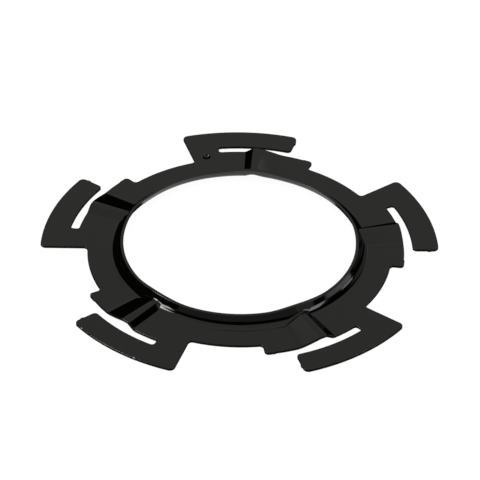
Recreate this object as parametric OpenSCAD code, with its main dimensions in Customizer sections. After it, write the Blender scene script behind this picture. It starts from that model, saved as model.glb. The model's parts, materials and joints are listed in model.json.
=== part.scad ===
// Twist-lock ring for a toilet flange, pressed and formed from one piece of steel sheet.
//
// A flat band carries equal arms round its rim. Each arm is a root that joins the band
// to a finger, and an open slot runs between the finger and the band. Beside each slot
// the band is pressed up into a low cam, which wedges the ring tight as it is twisted.
// A leaning collar is turned up round the opening, a little taller where a cam meets it.
//
// The origin is the centre of the ring on its flat underside. +Z points up the collar.
// Angles along an arm are counted clockwise from the straight edge of its root.

/* [Sheet] */
// Thickness of the steel sheet
sheet_t = 1.3; // [1.1:0.1:1.5]
// Diameter over the fingers
outer_d = 178; // [176:0.5:182]
// Diameter of the opening inside the collar's rim
opening_d = 103.6; // [103:0.1:104.4]

/* [Arms] */
// Number of arms round the ring
arm_count = 5; // [4:1:5]
// Direction of the first arm's root edge, anticlockwise from +X
first_arm_angle = 108; // [0:1:360]
// Length of a finger along the rim, in degrees
finger_angle = 35.3; // [32:0.1:40]
// Width of a finger
finger_w = 11.6; // [10:0.1:12]
// Width of the slot between a finger and the band
slot_w = 3.9; // [3.4:0.1:4.2]
// Length of the root that joins a finger to the band, in degrees
root_angle = 10.2; // [8:0.1:12]
// Radius of an arm's outer corners
rim_corner_r = 2.4; // [1:0.1:3]
// Radius of the other corners and of the inside corners
corner_r = 1.8; // [1:0.1:1.8]
// How far a finger's end stands out where two shear cuts meet
nib_h = 0.35; // [0.2:0.05:0.6]

/* [Band] */
// Length of the wide part of the band from the root's edge, in degrees
wide_angle = 45; // [42:0.5:50]
// How far the wide part's end stands out where two shear cuts meet
end_step = 0.3; // [0.1:0.1:0.5]
// How much further out the wide part reaches than the narrow part
wide_step = 5.6; // [5:0.1:7]

/* [Cams] */
// Height of a cam above the band
cam_h = 2.3; // [1.8:0.1:2.6]
// Direction of a cam's centre line, in degrees along the arm
cam_angle = 22.9; // [20.5:0.1:24]
// Length of the cam's steep side along the rim
cam_rise = 3.6; // [3:0.1:4]
// Length of the cam's level crest along the rim
cam_crest = 2.9; // [2.5:0.1:4]
// Length of the cam's long run-out along the rim
cam_runout = 9.4; // [8:0.1:10.5]
// Half the length over which each bend of the cam is eased
cam_ease = 0.8; // [0.6:0.1:1.2]

/* [Collar] */
// Height of the collar above the band
collar_h = 4.4; // [4:0.1:5]
// How much taller the collar is beside a cam
crown_h = 0.9; // [0.5:0.1:1.2]
// Direction of the tallest point, in degrees along the arm
crown_angle = 25.7; // [22:0.1:28]
// How far the collar leans inwards from upright, in degrees
collar_lean = 23; // [20:1:25]
// Radius of the bend at the collar's foot, on the upper side
foot_r = 4.5; // [3.5:0.1:5]
// Height of the upright land where the rim is trimmed to the opening
land_h = 1.1; // [0.9:0.1:1.4]

/* [Punch mark] */
// Radius of the small round punch mark on the first arm's root
mark_r = 1.9; // [1:0.1:2]
// Depth of the punch mark
mark_depth = 0.3; // [0.2:0.05:0.4]

/* [Hidden] */

$fn = 96;

// Extra reach that a cutting body has past the faces that it cuts
reach = 1;
// How far a curved face starts below the flat face that it rises from
sink = 0.03;
// Angle between the points along a round stretch of the outline
arc_step = 3;
// Straight pieces in each rounded corner
corner_steps = 5;
// Straight pieces in each eased bend of a cam, and in each bend of the collar
bend_steps = 4;
// Straight pieces in each half of a crown
crown_steps = 8;

pitch = 360 / arm_count;
outer_r = outer_d / 2;
opening_r = opening_d / 2;
slot_outer_r = outer_r - finger_w;
wide_r = slot_outer_r - slot_w;
narrow_r = wide_r - wide_step;
slot_middle_r = (slot_outer_r + wide_r) / 2;

// The nib takes the middle of the outer half of a finger's end
nib_inner_r = outer_r - 0.42 * finger_w;
nib_outer_r = outer_r - 0.1 * finger_w - rim_corner_r;

// Where the end of the band's wide part steps out
step_angle = wide_angle - 4;

// Places of the cam's bends, counted clockwise from its centre line
cam_bend_1 = -0.1 * cam_rise - cam_rise;
cam_bend_2 = cam_bend_1 + cam_rise;
cam_bend_3 = cam_bend_2 + cam_crest;
cam_bend_4 = cam_bend_3 + cam_runout;

// The collar's inner face meets the opening at the bottom of the land
rim_z = sheet_t + collar_h;
land_z = rim_z - land_h;
foot_z = sheet_t + foot_r - sink;
inner_bend_r = foot_r + sheet_t;
lean_run = tan(collar_lean);
foot_centre_r = opening_r + (land_z - foot_z) * lean_run + inner_bend_r / cos(collar_lean);
collar_top = rim_z + crown_h;

// Angles that the crown takes to rise before its tallest point and to fall after it
crown_before = 20.5;
crown_after = 16.2;

// A point at radius r, at angle u clockwise from an arm's root edge
function on_arm(r, u) = [r * cos(-u), r * sin(-u)];

function reversed(list) = [for (i = [len(list) - 1:-1:0]) list[i]];

// Points on a round stretch of the outline, without its two ends
function arc(r, from, to) =
    let (steps = ceil(abs(to - from) / arc_step))
    [for (i = [1:steps - 1]) on_arm(r, from + (to - from) * i / steps)];

// A rounded corner at radius r and angle u, from the round edge to the straight radial
// edge. along is 1 where the round edge lies clockwise of the corner and -1 where it
// lies the other way. away is 1 where the radial edge runs outwards and -1 inwards.
function corner(r, u, size, along, away) =
    let (
        centre_r = r + away * size,
        turn = asin(size / centre_r),
        centre = on_arm(centre_r, u + along * turn),
        outwards = on_arm(1, u + along * turn),
        clockwise = on_arm(1, u + along * turn + 90),
        sweep = 90 - away * turn
    )
    [for (i = [0:corner_steps])
        let (a = sweep * i / corner_steps)
        centre - size * (away * cos(a) * outwards + along * sin(a) * clockwise)];

// The nib left by the shears on the straight end of a finger
function nib() = [
    on_arm(nib_outer_r + nib_h, finger_angle),
    on_arm(nib_outer_r, finger_angle) + nib_h * on_arm(1, finger_angle + 90),
    on_arm(nib_inner_r, finger_angle) + nib_h * on_arm(1, finger_angle + 90),
    on_arm(nib_inner_r - nib_h / 2, finger_angle)
];

// The edge of one arm and its part of the band, from one root edge to the next
function arm_edge() = concat(
    corner(narrow_r, 0, corner_r, -1, 1),
    reversed(corner(outer_r, 0, rim_corner_r, 1, -1)),
    arc(outer_r, 2, finger_angle - 2),
    corner(outer_r, finger_angle, rim_corner_r, -1, -1),
    nib(),
    reversed(corner(slot_outer_r, finger_angle, corner_r, -1, 1)),
    arc(slot_outer_r, finger_angle - 2, root_angle + 1.5),
    corner(slot_outer_r, root_angle, slot_w / 3, 1, -1),
    reversed(corner(wide_r, root_angle, slot_w / 3, 1, 1)),
    arc(wide_r, root_angle + 1.5, step_angle),
    [on_arm(wide_r, step_angle), on_arm(wide_r + end_step, step_angle + 0.5)],
    corner(wide_r + end_step, wide_angle, corner_r, -1, -1),
    reversed(corner(narrow_r, wide_angle, corner_r, 1, 1)),
    arc(narrow_r, wide_angle + 2, pitch - 2)
);

function turned(points, angle) = [
    for (p = points)
        [p[0] * cos(angle) - p[1] * sin(angle), p[0] * sin(angle) + p[1] * cos(angle)]
];

// A bend eased over twice cam_ease, then a slope of 1
function eased(x) =
    x <= -cam_ease ? 0 :
    x >= cam_ease ? x :
    pow(x + cam_ease, 2) / (4 * cam_ease);

// The slope of that eased bend
function eased_slope(x) = min(1, max(0, (x + cam_ease) / (2 * cam_ease)));

function cam_top(x) = sheet_t
    + cam_h / cam_rise * (eased(x - cam_bend_1) - eased(x - cam_bend_2))
    - cam_h / cam_runout * (eased(x - cam_bend_3) - eased(x - cam_bend_4));

function cam_slope(x) =
    cam_h / cam_rise * (eased_slope(x - cam_bend_1) - eased_slope(x - cam_bend_2))
    - cam_h / cam_runout * (eased_slope(x - cam_bend_3) - eased_slope(x - cam_bend_4));

// The sheet keeps its thickness square to its face as it climbs
function cam_bottom(x) = cam_top(x) - sheet_t * sqrt(1 + pow(cam_slope(x), 2));

// Stations along the cam, close together in each bend
cam_stations = [
    for (bend = [cam_bend_1, cam_bend_2, cam_bend_3, cam_bend_4])
        for (i = [0:bend_steps])
            bend + cam_ease * (2 * i / bend_steps - 1)
];
cam_start = cam_stations[0];
cam_end = cam_stations[len(cam_stations) - 1];

cam_bottom_line = [for (x = cam_stations) [x, cam_bottom(x)]];
cam_top_line = [
    for (x = cam_stations)
        [x, cam_top(x) - (x == cam_start || x == cam_end ? sink : 0)]
];

// Repeats its children on every arm, with the arm's root edge along +X
module on_each_arm() {
    for (i = [0:arm_count - 1])
        rotate([0, 0, first_arm_angle - i * pitch])
            children();
}

// Draws its 2-D child across an arm at angle u, seen from the centre of the ring: the
// child's x runs clockwise round the ring and its y runs up. It reaches from radius
// from to radius to.
module across_arm(u, from, to) {
    rotate([0, 0, -u])
        translate([from, 0, 0])
            rotate([90, 0, 90])
                linear_extrude(to - from)
                    mirror([1, 0])
                        children();
}

module outline() {
    polygon([
        for (i = [0:arm_count - 1])
            for (p = turned(arm_edge(), first_arm_angle - i * pitch))
                p
    ]);
}

// What the sheet's plan allows, at every height
module blank() {
    translate([0, 0, -reach])
        linear_extrude(collar_top + 2 * reach)
            outline();
}

module flat_sheet() {
    cylinder(r = outer_r + reach, h = sheet_t);
}

// The bent strip of sheet that makes one cam
module cam_strip() {
    across_arm(cam_angle, opening_r - reach, slot_middle_r)
        polygon(concat(cam_bottom_line, reversed(cam_top_line)));
}

// The space under a cam, which is open below
module under_cam() {
    across_arm(cam_angle, opening_r - 2 * reach, slot_middle_r)
        polygon(concat([[cam_end, -reach], [cam_start, -reach]], cam_bottom_line));
}

// The height of the rim, which rises smoothly to each crown
module crown() {
    function lift(turn) = crown_h * pow(cos(90 * turn), 2) - sink;
    across_arm(crown_angle, opening_r - 2 * reach, foot_centre_r)
        polygon(concat(
            [[opening_r * sin(crown_after), sheet_t], [-opening_r * sin(crown_before), sheet_t]],
            [for (i = [0:crown_steps])
                let (turn = 1 - i / crown_steps)
                [-opening_r * sin(crown_before * turn), rim_z + lift(turn)]],
            [for (i = [1:crown_steps])
                let (turn = i / crown_steps)
                [opening_r * sin(crown_after * turn), rim_z + lift(turn)]]
        ));
}

// A bend about the foot's centre, from the flat face to the leaning face
function foot_bend(r) = [
    for (i = [0:bend_steps])
        let (a = (90 - collar_lean) * i / bend_steps)
        [foot_centre_r - r * sin(a), foot_z - r * cos(a)]
];

// The collar's outer face, solid to the middle, as tall as its crowns
module collar_outside() {
    outer_foot = foot_bend(foot_r);
    foot_top = outer_foot[bend_steps];
    rotate_extrude($fn = 180)
        polygon(concat(
            [[opening_r - 2 * reach, reach / 2], [foot_centre_r, reach / 2]],
            outer_foot,
            [[foot_top[0] - (collar_top - foot_top[1]) * lean_run, collar_top],
                [opening_r - 2 * reach, collar_top]]
        ));
}

// The opening, with the collar's inner face round it
module opening() {
    inner_foot = foot_bend(inner_bend_r);
    rotate_extrude($fn = 180)
        polygon(concat(
            [[0, -reach], [foot_centre_r, -reach]],
            inner_foot,
            [[opening_r, land_z], [opening_r, collar_top + reach], [0, collar_top + reach]]
        ));
}

// The collar's outside cut down to the rim's height
module collar() {
    intersection() {
        collar_outside();
        union() {
            cylinder(r = foot_centre_r + 2 * reach, h = rim_z);
            on_each_arm() crown();
        }
    }
}

// A shallow dish with sloping sides
module punch_mark() {
    mark_place = on_arm((narrow_r + wide_r) / 2, root_angle / 2);
    rotate([0, 0, first_arm_angle])
        translate([mark_place[0], mark_place[1], sheet_t - mark_depth])
            cylinder(r1 = mark_r / 3, r2 = mark_r, h = mark_depth);
}

module lock_ring() {
    color([0.15, 0.15, 0.14])
        difference() {
            intersection() {
                blank();
                union() {
                    difference() {
                        union() {
                            flat_sheet();
                            collar();
                        }
                        on_each_arm() under_cam();
                    }
                    on_each_arm() cam_strip();
                }
            }
            opening();
            punch_mark();
        }
}

lock_ring();
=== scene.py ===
"""The looks of a twist-lock ring for a toilet flange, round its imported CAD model.

The ring is one piece of steel sheet with a black coating. Its upper face is built as one
smooth surface, and then gets the sheet's thickness and rounded edges. Lengths are in
millimetres until the mesh is made, and the frame is the CAD's: +Z up the collar, origin at
the centre of the flat underside. Angles along an arm run clockwise from its root's edge.
"""

import json
import math

import bpy
import numpy as np
from mathutils import Matrix, Vector


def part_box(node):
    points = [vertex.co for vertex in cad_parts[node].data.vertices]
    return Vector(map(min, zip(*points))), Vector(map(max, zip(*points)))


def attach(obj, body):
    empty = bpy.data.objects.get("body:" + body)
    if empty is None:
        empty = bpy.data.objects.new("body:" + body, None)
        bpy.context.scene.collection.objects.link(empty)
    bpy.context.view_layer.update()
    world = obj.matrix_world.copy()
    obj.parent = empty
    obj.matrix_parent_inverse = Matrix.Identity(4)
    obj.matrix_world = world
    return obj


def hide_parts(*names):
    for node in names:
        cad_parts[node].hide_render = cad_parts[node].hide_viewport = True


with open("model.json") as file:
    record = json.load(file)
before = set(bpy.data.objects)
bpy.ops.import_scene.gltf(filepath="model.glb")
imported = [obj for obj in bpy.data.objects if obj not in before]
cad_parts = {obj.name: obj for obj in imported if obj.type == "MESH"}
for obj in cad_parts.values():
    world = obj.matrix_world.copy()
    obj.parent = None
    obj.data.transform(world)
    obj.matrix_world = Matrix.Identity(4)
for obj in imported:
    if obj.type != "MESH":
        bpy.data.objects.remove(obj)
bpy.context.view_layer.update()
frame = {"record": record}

MM = 0.001

# ---------------------------------------------------------------- sizes, from the frame

ring_low, ring_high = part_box("lock_ring")
mounts = {mount["name"]: mount for mount in frame["record"]["mounts"]}

OUTER_R = ring_high[1] / MM
OPENING_R = mounts["opening"]["dims"]["r_mm"]
COLLAR_TOP = ring_high[2] / MM

SHEET_T = 1.3
ARM_COUNT = 5
PITCH = 360 / ARM_COUNT
FIRST_ARM = 108

FINGER_ANGLE = 35.3
FINGER_W = 11.6
SLOT_W = 3.9
ROOT_ANGLE = 10.2
WIDE_ANGLE = 45
WIDE_STEP = 5.6
END_STEP = 0.3
STEP_ANGLE = WIDE_ANGLE - 4
NIB_H = 0.35
RIM_CORNER_R = 2.4
CORNER_R = 1.8

SLOT_OUTER_R = OUTER_R - FINGER_W
WIDE_R = SLOT_OUTER_R - SLOT_W
NARROW_R = WIDE_R - WIDE_STEP

# The cam: places of its four bends along the rim at its middle radius, from its centre line
CAM_ANGLE = 22.9
CAM_H = 2.3
CAM_R = 68
CAM_BENDS = (-3.8, -0.4, 2.6, 11.9)
CAM_EASE = (0.7, 0.6, 0.8, 1.8)

# The collar. Its opening is drawn a little tighter than the CAD's, as the near rim looks so
VISIBLE_OPENING_R = OPENING_R - 0.1
CROWN_H = 0.9
CROWN_ANGLE = 25.7
CROWN_BEFORE = 20.5
CROWN_AFTER = 16.2
COLLAR_LEAN = math.radians(23)
FOOT_R = 4.5
RIM_Z = COLLAR_TOP - CROWN_H

# The flat band starts here, just outside the collar's foot
BAND_START_R = 60

# Steps up the collar: across the band, round the foot and up the wall
FLAT_STEPS = 3
FOOT_STEPS = 20
WALL_STEPS = 5

# Knocks on a finger's upper outer edge: arm, angle along it, and how far the bare steel reaches
NICKS = ((3, 31.8, 0.9), (3, 12.2, 1.0), (3, 21.0, 0.6))

# The punch mark: its flat middle, its edge, and how deep it is shaded
MARK_MIDDLE_R = 0.6
MARK_R = 1.9
MARK_DEPTH = 1.3

# Rounding of the cut edges, and a narrow flat strip inside it that keeps the flats flat
EDGE_R = 0.22
RIM_EDGE_R = 0.15
EDGE_STRIP = 0.15


def on_arm(r, u):
    """A point in an arm's own plan, whose root edge lies along +X."""
    a = math.radians(-u)
    return np.array([r * math.cos(a), r * math.sin(a)])


def turned(point, angle):
    a = math.radians(angle)
    x, y = point
    return np.array([x * math.cos(a) - y * math.sin(a), x * math.sin(a) + y * math.cos(a)])


# ---------------------------------------------------------------- the outline

def arc(r, start, end, step=0.8):
    """Points on a round stretch of the outline, without its two ends."""
    count = math.ceil(abs(end - start) / step)
    return [on_arm(r, start + (end - start) * i / count) for i in range(1, count)]


def corner(r, u, size, along, away, steps=9):
    """A rounded corner, from the round edge to the straight radial edge.

    along is 1 where the round edge lies clockwise of the corner and -1 where it lies the
    other way. away is 1 where the radial edge runs outwards and -1 inwards."""
    centre_r = r + away * size
    turn = math.degrees(math.asin(size / centre_r))
    centre = on_arm(centre_r, u + along * turn)
    outwards = on_arm(1, u + along * turn)
    clockwise = on_arm(1, u + along * turn + 90)
    sweep = math.radians(90 - away * turn)
    points = []
    for i in range(steps + 1):
        a = sweep * i / steps
        points.append(centre - size * (away * math.cos(a) * outwards + along * math.sin(a) * clockwise))
    return points


def nib():
    """Where two shear cuts meet on a finger's end, it stands out a little."""
    outer = OUTER_R - 0.1 * FINGER_W - RIM_CORNER_R
    inner = OUTER_R - 0.42 * FINGER_W
    out = NIB_H * on_arm(1, FINGER_ANGLE + 90)
    return [
        on_arm(outer + NIB_H, FINGER_ANGLE),
        on_arm(outer, FINGER_ANGLE) + out,
        on_arm(inner, FINGER_ANGLE) + out,
        on_arm(inner - NIB_H, FINGER_ANGLE),
    ]


def cam_stations():
    """Places across the cam, close together in its bends, and a little past its ends."""
    places = []
    for bend, ease in zip(CAM_BENDS, CAM_EASE):
        places += [bend + ease * (i / 5 - 1) for i in range(11)]
    places += list(np.linspace(CAM_BENDS[2] + CAM_EASE[2], CAM_BENDS[3] - CAM_EASE[3], 8)[1:-1])
    places += [CAM_BENDS[0] - CAM_EASE[0] - 0.8, CAM_BENDS[3] + CAM_EASE[3] + 0.8]
    places = sorted(places)
    kept = [places[0]]
    for place in places[1:]:
        if place - kept[-1] > 0.12:
            kept.append(place)
    return kept


STATIONS = cam_stations()


def station_angle(place):
    """Angle along the arm of a place on the cam."""
    return CAM_ANGLE + math.degrees(place / CAM_R)


def arm_edge():
    """The edge of one arm and its part of the band, and where the cam's stations start in it."""
    first, last = (station_angle(s) for s in (STATIONS[0], STATIONS[-1]))
    edge = corner(NARROW_R, 0, CORNER_R, -1, 1)
    edge += corner(OUTER_R, 0, RIM_CORNER_R, 1, -1)[::-1]
    edge += arc(OUTER_R, 2, FINGER_ANGLE - 2)
    edge += corner(OUTER_R, FINGER_ANGLE, RIM_CORNER_R, -1, -1)
    edge += nib()
    edge += corner(SLOT_OUTER_R, FINGER_ANGLE, CORNER_R, -1, 1)[::-1]
    edge += arc(SLOT_OUTER_R, FINGER_ANGLE - 2, ROOT_ANGLE + 1.5)
    edge += corner(SLOT_OUTER_R, ROOT_ANGLE, SLOT_W / 3, 1, -1)
    edge += corner(WIDE_R, ROOT_ANGLE, SLOT_W / 3, 1, 1)[::-1]
    edge += arc(WIDE_R, ROOT_ANGLE + 1.5, first)
    start = len(edge)
    edge += [on_arm(WIDE_R, station_angle(s)) for s in STATIONS]
    edge += arc(WIDE_R, last, STEP_ANGLE)
    edge += [on_arm(WIDE_R, STEP_ANGLE), on_arm(WIDE_R + END_STEP, STEP_ANGLE + 0.5)]
    edge += corner(WIDE_R + END_STEP, WIDE_ANGLE, CORNER_R, -1, -1)
    edge += corner(NARROW_R, WIDE_ANGLE, CORNER_R, 1, 1)[::-1]
    edge += arc(NARROW_R, WIDE_ANGLE + 2, PITCH - 2)
    return edge, start


def inset(loop, distance):
    """The closed clockwise plan loop, moved inwards square to itself."""
    loop = np.array(loop)
    along = np.roll(loop, -1, axis=0) - loop
    along /= np.linalg.norm(along, axis=1)[:, None]
    inwards = np.stack([along[:, 1], -along[:, 0]], axis=1)
    both = inwards + np.roll(inwards, 1, axis=0)
    both /= (both * inwards).sum(axis=1)[:, None]
    return loop + distance * both


# ---------------------------------------------------------------- heights

def eased(x, ease):
    """Nothing, then a slope of 1, with an eased bend between them."""
    if x <= -ease:
        return 0.0
    if x >= ease:
        return x
    return (x + ease) ** 2 / (4 * ease)


def cam_height(point):
    """How far the band is pressed up at a point of an arm's own plan."""
    if math.hypot(*point) > WIDE_R + SLOT_W / 2:
        return 0.0
    x, y = turned(point, CAM_ANGLE)
    place = CAM_R * math.atan2(-y, x)
    a, b, c, d = (eased(place - bend, ease) for bend, ease in zip(CAM_BENDS, CAM_EASE))
    rise = CAM_BENDS[1] - CAM_BENDS[0]
    runout = CAM_BENDS[3] - CAM_BENDS[2]
    return CAM_H * ((a - b) / rise - (c - d) / runout)


def crown_height(u):
    """How much taller the collar is than between the cams."""
    turn = (u - CROWN_ANGLE + PITCH / 2) % PITCH - PITCH / 2
    share = turn / (CROWN_BEFORE if turn < 0 else CROWN_AFTER)
    return CROWN_H * math.cos(math.radians(90 * share)) ** 2 if abs(share) < 1 else 0.0


def blended_top(low, high, softness):
    """The higher of two heights, with a soft corner where they cross."""
    overlap = max(softness - abs(low - high), 0)
    return max(low, high) + (overlap ** 2 / (4 * softness) if overlap else 0)


def collar_line(u):
    """Points up the collar's outer face at one angle: across the band, round the foot, up the wall.

    The foot is the same all round, and the cam's pressed up band runs into it."""
    band_z = SHEET_T + cam_height(on_arm(CAM_R, u))
    foot_z = SHEET_T + FOOT_R
    top_r = VISIBLE_OPENING_R + SHEET_T / math.cos(COLLAR_LEAN)
    top_z = RIM_Z + crown_height(u)
    lean = math.tan(COLLAR_LEAN)
    centre_r = top_r + (top_z - foot_z) * lean + FOOT_R / math.cos(COLLAR_LEAN)
    line = []
    for i in range(FLAT_STEPS + 1):
        line.append((BAND_START_R + (centre_r - BAND_START_R) * i / FLAT_STEPS, SHEET_T))
    sweep = math.pi / 2 - COLLAR_LEAN
    for i in range(1, FOOT_STEPS + 1):
        a = sweep * i / FOOT_STEPS
        line.append((centre_r - FOOT_R * math.sin(a), foot_z - FOOT_R * math.cos(a)))
    foot_end_r, foot_end_z = line[-1]
    last_z = top_z - (RIM_EDGE_R + EDGE_STRIP) * math.cos(COLLAR_LEAN)
    for i in range(1, WALL_STEPS + 1):
        z = foot_end_z + (last_z - foot_end_z) * i / WALL_STEPS
        line.append((foot_end_r - (z - foot_end_z) * lean, z))
    softness = 0.5 * (band_z - SHEET_T)
    return [(r, blended_top(band_z, z, softness)) for r, z in line]


# ---------------------------------------------------------------- the sheet's upper face

class Surface:
    """Vertices and faces of the upper face, with its two boundary loops."""

    def __init__(self):
        self.points = []
        self.faces = []

    def add(self, x, y, z):
        self.points.append((x, y, z))
        return len(self.points) - 1

    def grid(self, columns):
        """Quads between neighbouring columns of vertices."""
        for left, right in zip(columns[:-1], columns[1:]):
            for i in range(len(left) - 1):
                self.faces.append((left[i], left[i + 1], right[i + 1], right[i]))


def upper_face():
    surface = Surface()
    edge, cam_start = arm_edge()
    cam_end = cam_start + len(STATIONS) - 1

    whole = [turned(p, FIRST_ARM - k * PITCH) for k in range(ARM_COUNT) for p in edge]
    inner_edge = inset(whole, EDGE_R + EDGE_STRIP)
    size = len(edge)
    outline = []
    for i, point in enumerate(inner_edge):
        arm = i // size
        local = turned(point, -(FIRST_ARM - arm * PITCH))
        outline.append(surface.add(*point, SHEET_T + cam_height(local)))

    # Angles of the collar's columns, from one cam to the next
    cam_angles = [station_angle(s) for s in STATIONS]
    gap = cam_angles[0] + PITCH - cam_angles[-1]
    between = math.ceil(gap / 1.2)
    angles = cam_angles + [cam_angles[-1] + gap * i / between for i in range(1, between)]

    columns = []
    for k in range(ARM_COUNT):
        for u in angles:
            column = []
            for r, z in collar_line(u):
                column.append(surface.add(*turned(on_arm(r, u), FIRST_ARM - k * PITCH), z))
            columns.append(column)
    surface.grid(columns + columns[:1])

    cam_rows = 10
    sides = []
    for k in range(ARM_COUNT):
        patch = []
        for i in range(len(STATIONS)):
            low = columns[k * len(angles) + i][0]
            high = outline[k * size + cam_start + i]
            low_xy, high_xy = (np.array(surface.points[v][:2]) for v in (low, high))
            column = [high]
            for row in range(cam_rows - 1, 0, -1):
                point = low_xy + (high_xy - low_xy) * row / cam_rows
                z = SHEET_T + cam_height(turned(point, -(FIRST_ARM - k * PITCH)))
                column.append(surface.add(*point, z))
            patch.append(column + [low])
        surface.grid(patch)
        sides.append((patch[0], patch[-1]))

    # The flat rest of each arm, from one cam's end to the next cam's start
    for k in range(ARM_COUNT):
        after = (k + 1) % ARM_COUNT
        edge_run = [outline[(k * size + i) % len(outline)] for i in range(cam_end, size + cam_start + 1)]
        foot_run = [columns[(k * len(angles) + i) % len(columns)][0]
                    for i in range(len(STATIONS) - 1, len(angles) + 1)]
        flat = edge_run + sides[after][0][1:-1] + foot_run[::-1] + sides[k][1][1:-1][::-1]
        surface.faces.append(tuple(flat[::-1]))

    surface.outline = outline
    surface.rim = [column[-1] for column in columns]
    return surface


def vertex_normals(points, faces):
    """Upward normals, each the average of its faces' normals."""
    normals = np.zeros_like(points)
    for face in faces:
        corners = points[list(face)]
        following = np.roll(corners, -1, axis=0)
        normal = np.cross(corners, following).sum(axis=0)
        normal /= np.linalg.norm(normal)
        for v in face:
            normals[v] += normal
    normals /= np.linalg.norm(normals, axis=1)[:, None]
    return normals


def signed_up(points, face):
    corners = points[list(face)]
    return np.cross(corners, np.roll(corners, -1, axis=0)).sum(axis=0)[2]


def sheet_mesh():
    """The whole ring: the upper face, the lower face a thickness below it, and rounded edges."""
    surface = upper_face()
    points = np.array(surface.points)
    faces = [f if signed_up(points, f) > 0 else f[::-1] for f in surface.faces]
    normals = vertex_normals(points, faces)
    count = len(points)
    lower = points - SHEET_T * normals

    all_points = list(points) + list(lower)
    all_faces = list(faces) + [tuple(v + count for v in f[::-1]) for f in faces]
    wear = [0.0] * (2 * count)

    def edge_band(loop, outwards_sign, round_r, skew, worn_most):
        """Rounds the cut edge along a loop of the upper face, down to the lower face."""
        top = points[loop]
        up = normals[loop]
        along = np.roll(top, -1, axis=0) - np.roll(top, 1, axis=0)
        out = outwards_sign * np.cross(along, up)
        out /= np.linalg.norm(out, axis=1)[:, None]
        steps = 5
        profile = [(EDGE_STRIP, 0.0, 0.2 * worn_most)]
        for i in range(1, steps + 1):
            a = math.pi / 2 * i / steps
            profile.append((EDGE_STRIP + round_r * math.sin(a), round_r * (1 - math.cos(a)), worn_most))
        profile += [(o, SHEET_T - d, w) for o, d, w in profile[::-1]]
        rings = [list(loop)]
        for o, depth, worn in profile:
            ring = []
            for p, n, side in zip(top, up, out):
                ring.append(len(all_points))
                all_points.append(p + side * (o + skew * depth) - n * depth)
                wear.append(worn)
            rings.append(ring)
        rings.append([v + count for v in loop])
        for upper, below in zip(rings[:-1], rings[1:]):
            for i in range(len(upper)):
                j = (i + 1) % len(upper)
                quad = (upper[i], upper[j], below[j], below[i])
                all_faces.append(quad if outwards_sign < 0 else quad[::-1])

    edge_band(surface.outline, -1, EDGE_R, 0.0, 1.0)
    edge_band(surface.rim, 1, RIM_EDGE_R, math.tan(COLLAR_LEAN), 0.5)
    return np.array(all_points), all_faces, wear


def nick_share(point):
    """1 at the middle of a knock where the coating is gone, falling to 0 round it."""
    share = 0.0
    for arm, u, size in NICKS:
        x, y = turned(on_arm(OUTER_R, u), FIRST_ARM - arm * PITCH)
        apart = math.dist(point, (x, y, SHEET_T))
        share = max(share, 1 - apart / size)
    return share


def mesh_object(name, points, faces, wear, material):
    mesh = bpy.data.meshes.new(name)
    mesh.from_pydata((points * MM).tolist(), [], faces)
    mesh.validate()
    for key, values in (("worn_edge", wear), ("nick", [nick_share(p) for p in points])):
        mesh.attributes.new(key, "FLOAT", "POINT").data.foreach_set("value", values)
    mesh.shade_smooth()
    mesh.materials.append(material)
    piece = bpy.data.objects.new(name, mesh)
    bpy.context.scene.collection.objects.link(piece)
    return piece


# ---------------------------------------------------------------- camera, lights, floor

def add_camera():
    """Looks down at the ring from the front, from the photograph's angle."""
    elevation = math.radians(37.82)
    roll = math.radians(0.75)
    distance = 1.394
    forward = Vector((0, math.cos(elevation), -math.sin(elevation)))
    level = Vector((1, 0, 0))
    upward = level.cross(forward)
    right = math.cos(roll) * level + math.sin(roll) * upward
    up = math.cos(roll) * upward - math.sin(roll) * level
    camera = bpy.data.objects.new("camera", bpy.data.cameras.new("camera"))
    place = Vector((0, 0, SHEET_T * MM)) - forward * distance
    camera.matrix_world = Matrix((
        (right.x, up.x, -forward.x, place.x),
        (right.y, up.y, -forward.y, place.y),
        (right.z, up.z, -forward.z, place.z),
        (0, 0, 0, 1),
    ))
    camera.data.lens = 234.26
    camera.data.shift_x = 0.001
    camera.data.shift_y = 0.0176
    camera.data.clip_end = 20
    bpy.context.scene.collection.objects.link(camera)
    bpy.context.scene.camera = camera


# The light boxes light the ring only, and a light of its own keeps the floor an even white
lit_by_boxes = bpy.data.collections.new("lit_by_boxes")
lit_by_floor_light = bpy.data.collections.new("lit_by_floor_light")


def add_panel(name, centre, target, width, depth, radiance, colour=(1, 1, 1)):
    """A rectangular soft light. radiance is how bright its face looks, with white at 1."""
    light = bpy.data.lights.new(name, "AREA")
    light.shape = "RECTANGLE"
    light.size = width
    light.size_y = depth
    light.energy = radiance * math.pi * width * depth
    light.color = colour
    panel = bpy.data.objects.new(name, light)
    panel.visible_camera = False
    panel.light_linking.receiver_collection = lit_by_boxes
    panel.location = centre
    panel.rotation_euler = (Vector(target) - Vector(centre)).to_track_quat("-Z", "Y").to_euler()
    bpy.context.scene.collection.objects.link(panel)


def add_box(name, azimuth, elevation, width, height, radiance):
    """A light box that faces the ring, with its place and size given in degrees as seen from it."""
    away = 2.2
    a, e = math.radians(azimuth), math.radians(elevation)
    centre = away * Vector((math.cos(e) * math.cos(a), math.cos(e) * math.sin(a), math.sin(e)))
    width, height = (2 * away * math.tan(math.radians(size / 2)) for size in (width, height))
    add_panel(name, centre, (0, 0, 0), width, height, radiance)


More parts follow.
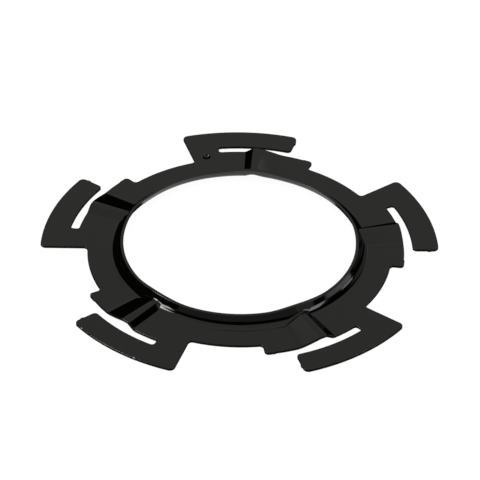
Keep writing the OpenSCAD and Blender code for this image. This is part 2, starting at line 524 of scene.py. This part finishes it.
def add_lights():
    """The flats mirror the overhead panels, and the rounded foot of the collar the boxes round them.

    The panel below shows in the far side of the collar. The bright boxes at the sides stay
    clear of the X axis, where the flats would mirror them in a view from the opposite side."""
    warm = (0.985, 1, 0.94)
    add_panel("overhead_far", (-0.06, 2.2, 1.5), (-0.06, 2.2, 0), 2.2, 1.8, 0.405, warm)
    add_panel("overhead_near", (-0.06, 0.3, 1.5), (-0.06, 0.3, 0), 2.2, 2.0, 0.54, warm)
    add_panel("below", (0, 0.4, -2.2), (0, 0.4, 0), 3.2, 2.6, 0.6)
    add_box("left_box", -167, 33, 12, 36, 12.0)
    add_box("left_low_box", -157, 22, 18, 18, 8.0)
    add_box("back_right_card", 48, 26, 36, 20, 0.22)
    add_box("right_box", -17, 23, 14, 26, 3.5)
    add_box("right_strip", 16, 12, 14, 10, 2.5)
    add_box("right_card", 6, -5, 30, 24, 0.9)
    add_box("front_card", -90, 15, 100, 32, 0.2)
    add_box("front_right_card", -31, 14, 20, 34, 0.35)


def add_world():
    """White to the camera, and a dim room to everything else."""
    world = bpy.data.worlds.new("studio")
    bpy.context.scene.world = world
    world.use_nodes = True
    nodes = world.node_tree.nodes
    links = world.node_tree.links
    nodes.clear()
    path = nodes.new("ShaderNodeLightPath")
    room = nodes.new("ShaderNodeBackground")
    room.inputs["Color"].default_value = (0.004, 0.004, 0.004, 1)
    white = nodes.new("ShaderNodeBackground")
    white.inputs["Color"].default_value = (1, 1, 1, 1)
    white.inputs["Strength"].default_value = 1.03
    mix = nodes.new("ShaderNodeMixShader")
    out = nodes.new("ShaderNodeOutputWorld")
    links.new(path.outputs["Is Camera Ray"], mix.inputs[0])
    links.new(room.outputs[0], mix.inputs[1])
    links.new(white.outputs[0], mix.inputs[2])
    links.new(mix.outputs[0], out.inputs["Surface"])


def add_floor():
    """A pale floor under the ring, lit by a light of its own, which the ring doesn't mirror."""
    mesh = bpy.data.meshes.new("floor")
    reach = 6.0
    mesh.from_pydata([(-reach, -reach, 0), (reach, -reach, 0), (reach, reach, 0), (-reach, reach, 0)],
                     [], [(0, 1, 2, 3)])
    material = bpy.data.materials.new("floor")
    material.use_nodes = True
    shader = material.node_tree.nodes["Principled BSDF"]
    shader.inputs["Base Color"].default_value = (0.9, 0.9, 0.9, 1)
    shader.inputs["Roughness"].default_value = 0.9
    shader.inputs["Specular IOR Level"].default_value = 0.0
    mesh.materials.append(material)
    floor = bpy.data.objects.new("floor", mesh)
    floor.location.z = -0.0002
    bpy.context.scene.collection.objects.link(floor)
    floor.visible_glossy = False
    floor.visible_shadow = False

    lit_by_floor_light.objects.link(floor)
    sun = bpy.data.lights.new("floor_light", "SUN")
    sun.energy = 3.55
    sun.angle = math.radians(60)
    lamp = bpy.data.objects.new("floor_light", sun)
    bpy.context.scene.collection.objects.link(lamp)
    lamp.light_linking.receiver_collection = lit_by_floor_light
    lamp.light_linking.blocker_collection = lit_by_floor_light


# ---------------------------------------------------------------- material

class Shading:
    """Adds nodes to one material and joins them up."""

    def __init__(self, name):
        self.material = bpy.data.materials.new(name)
        self.material.use_nodes = True
        self.nodes = self.material.node_tree.nodes
        self.links = self.material.node_tree.links
        self.shader = self.nodes["Principled BSDF"]

    def put(self, socket, value):
        """A node's output is linked to the socket, and anything else is set on it."""
        if isinstance(value, bpy.types.NodeSocket):
            self.links.new(value, socket)
        else:
            socket.default_value = value

    def math(self, operation, *values):
        made = self.nodes.new("ShaderNodeMath")
        made.operation = operation
        for socket, value in zip(made.inputs, values):
            self.put(socket, value)
        return made.outputs[0]

    def noise(self, place, scale, detail=2.0):
        made = self.nodes.new("ShaderNodeTexNoise")
        made.inputs["Scale"].default_value = scale
        made.inputs["Detail"].default_value = detail
        self.put(made.inputs["Vector"], place)
        return made.outputs["Fac"]

    def ramp(self, value, start, end, low=0.0, high=1.0):
        """Eases from low to high as the value goes from start to end."""
        made = self.nodes.new("ShaderNodeMapRange")
        made.interpolation_type = "SMOOTHSTEP"
        for name, setting in zip(("Value", "From Min", "From Max", "To Min", "To Max"),
                                 (value, start, end, low, high)):
            self.put(made.inputs[name], setting)
        return made.outputs[0]

    def mix(self, share, first, second):
        made = self.nodes.new("ShaderNodeMix")
        made.data_type = "RGBA"
        for socket, value in ((made.inputs[0], share), (made.inputs[6], first), (made.inputs[7], second)):
            self.put(socket, value)
        return made.outputs[2]

    def named(self, name):
        """A value stored on the mesh."""
        made = self.nodes.new("ShaderNodeAttribute")
        made.attribute_name = name
        return made.outputs["Fac"]


def punch_depth(shading, place):
    """Depth, in mm, at which the round punch mark on the first arm's root is shaded."""
    x, y = turned(on_arm((NARROW_R + WIDE_R) / 2, ROOT_ANGLE / 2), FIRST_ARM)
    apart = shading.nodes.new("ShaderNodeVectorMath")
    apart.operation = "DISTANCE"
    shading.put(apart.inputs[0], place)
    apart.inputs[1].default_value = (x * MM, y * MM, SHEET_T * MM)
    return shading.ramp(apart.outputs["Value"], MARK_MIDDLE_R * MM, MARK_R * MM, MARK_DEPTH, 0.0)


def coating():
    """Glossy black coating on steel, with a faint ripple, thin edges and a few bare nicks."""
    shading = Shading("black_coating")
    place = shading.nodes.new("ShaderNodeTexCoord").outputs["Object"]
    edge = shading.named("worn_edge")
    nick = shading.named("nick")

    broad = shading.noise(place, 35, 3)
    fine = shading.noise(place, 900, 3)
    grain = shading.noise(place, 2600, 2)
    ragged = shading.ramp(shading.math("ADD", nick, shading.math("MULTIPLY", grain, 0.9)), 1.0, 1.1)
    chipped = shading.ramp(shading.math("MULTIPLY", edge, grain), 0.7, 0.76, 0.0, 0.5)
    bare = shading.math("MAXIMUM", ragged, chipped)

    black = shading.mix(broad, (0.0015, 0.0010, 0.0005, 1), (0.0007, 0.0007, 0.0006, 1))
    thin = shading.mix(shading.math("MULTIPLY", edge, 0.5), black, (0.012, 0.012, 0.012, 1))
    shading.put(shading.shader.inputs["Base Color"], shading.mix(bare, thin, (0.42, 0.41, 0.40, 1)))
    shading.put(shading.shader.inputs["Metallic"], bare)
    smooth = shading.ramp(broad, 0.35, 0.65, 0.07, 0.12)
    worn = shading.math("ADD", smooth, shading.math("MULTIPLY", edge, 0.14))
    rough = shading.math("ADD", worn, shading.math("MULTIPLY", bare, 0.25))
    shading.put(shading.shader.inputs["Roughness"], rough)
    shading.shader.inputs["IOR"].default_value = 1.5

    ripple = shading.math("MULTIPLY", fine, 0.0035)
    pits = shading.math("MULTIPLY", bare, -0.05)
    dish = shading.math("MULTIPLY", punch_depth(shading, place), -1.0)
    height = shading.math("ADD", shading.math("ADD", ripple, pits), dish)
    bump = shading.nodes.new("ShaderNodeBump")
    bump.inputs["Strength"].default_value = 1.0
    bump.inputs["Distance"].default_value = MM
    shading.put(bump.inputs["Height"], height)
    shading.put(shading.shader.inputs["Normal"], bump.outputs["Normal"])
    return shading.material


# ---------------------------------------------------------------- the scene

add_camera()
add_world()
add_floor()
add_lights()

ring = mesh_object("lock_ring_sheet", *sheet_mesh(), coating())
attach(ring, "root")
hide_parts("lock_ring")
lit_by_boxes.objects.link(ring)

bpy.context.scene.view_settings.view_transform = "Standard"
